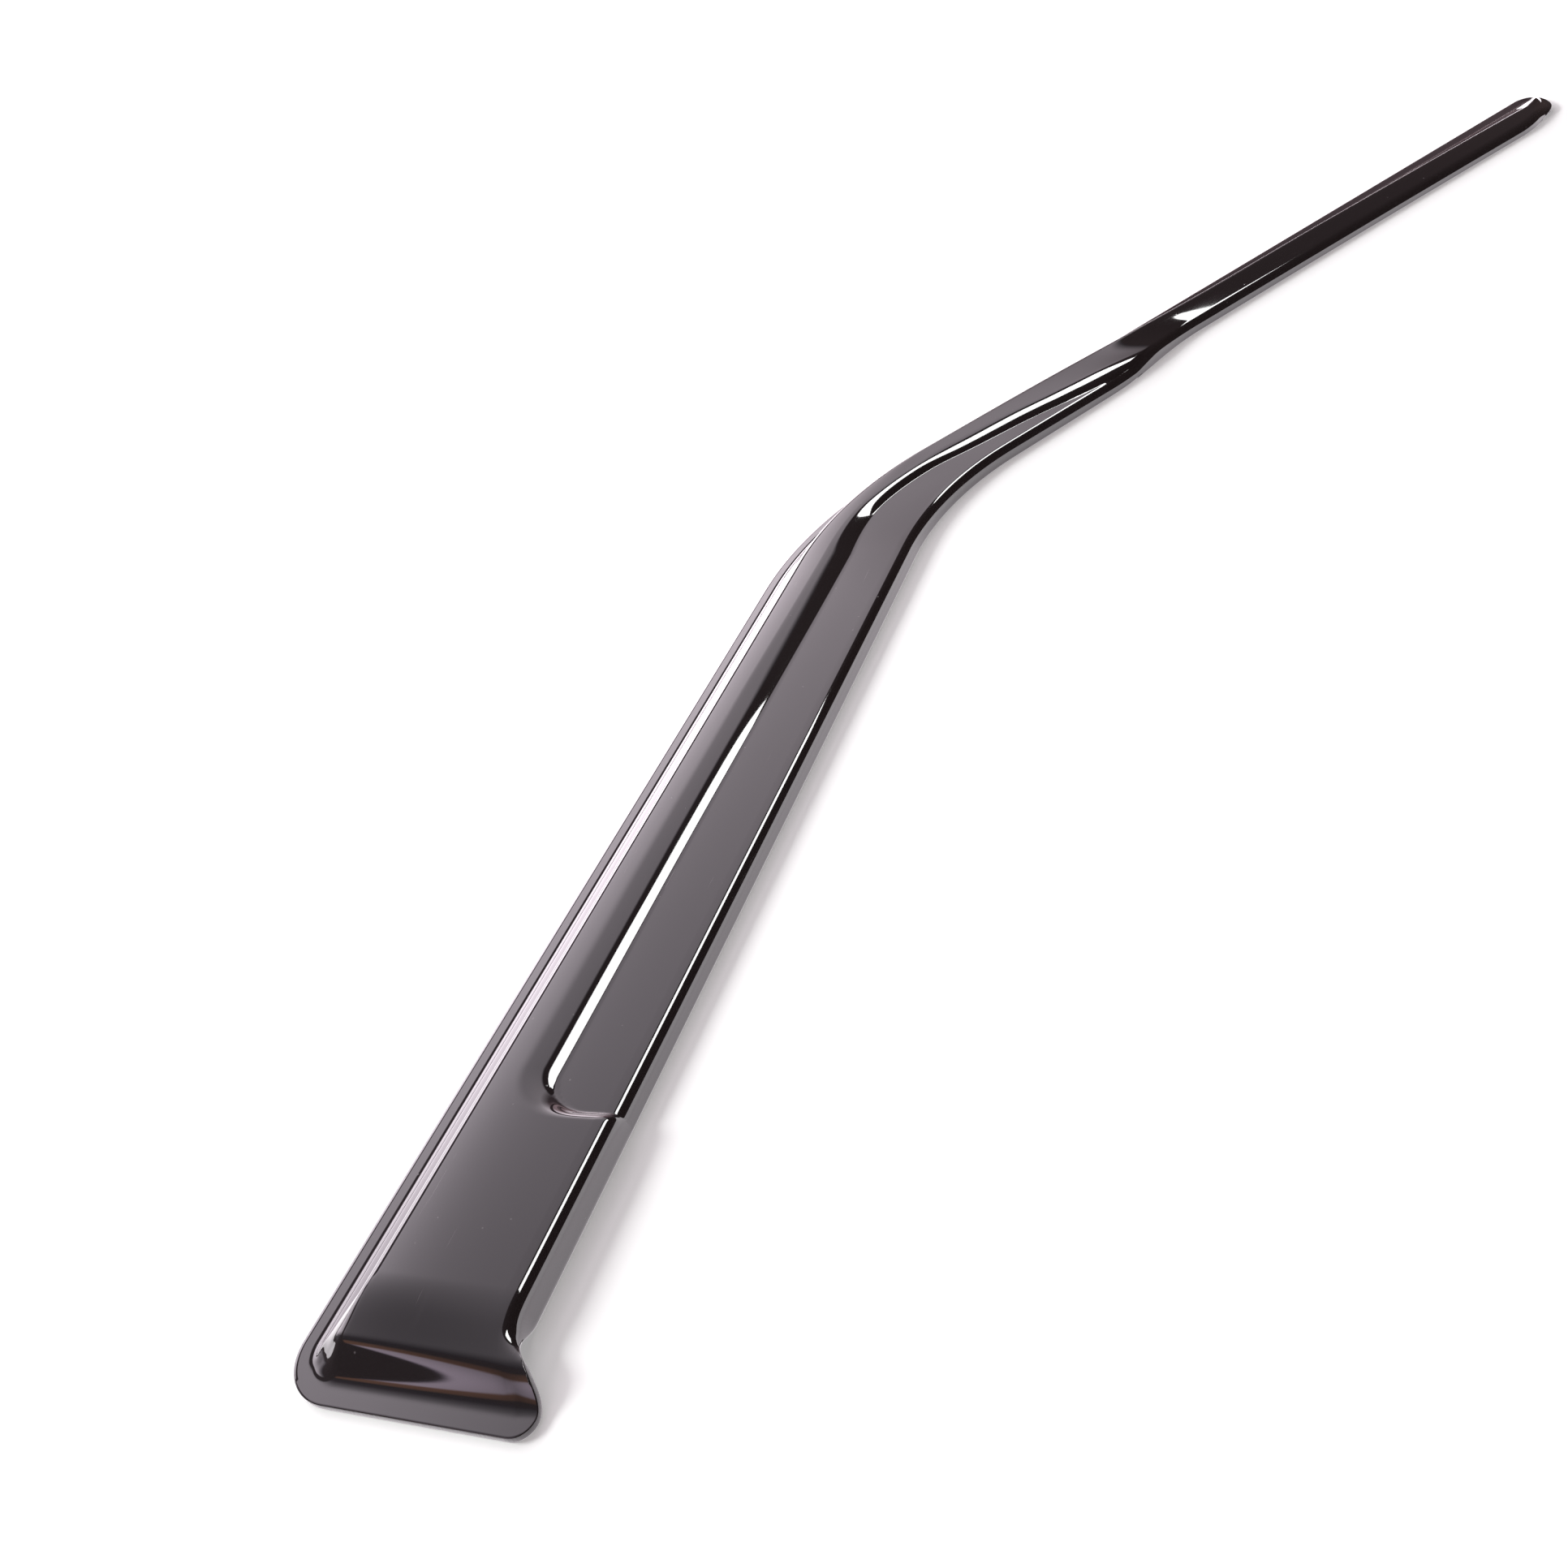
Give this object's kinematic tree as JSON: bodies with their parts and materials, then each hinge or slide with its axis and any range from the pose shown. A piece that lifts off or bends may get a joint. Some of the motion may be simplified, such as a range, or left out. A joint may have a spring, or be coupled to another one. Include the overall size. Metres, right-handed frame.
{
  "type": "window rain deflector",
  "caption": "Heat-formed smoke acrylic rain deflector for a car's front door window: flat bonding flange, raised shoulder, recessed panel, closed rear end and narrow nose.",
  "frame": {"origin": "on the underside of the bonding flange, at its middle width, half-way along the rear part", "axes": "+X along the rear part towards the front nose, +Y to the outer edge that is bonded to the door frame, +Z out of the car, away from the bonded face"},
  "size_m": [0.8716, 0.3373, 0.0149],
  "materials": {
    "smoke_acrylic": "gloss"
  },
  "bodies": {
    "root": {"deflector_shell": "smoke_acrylic"}
  },
  "joints": []
}
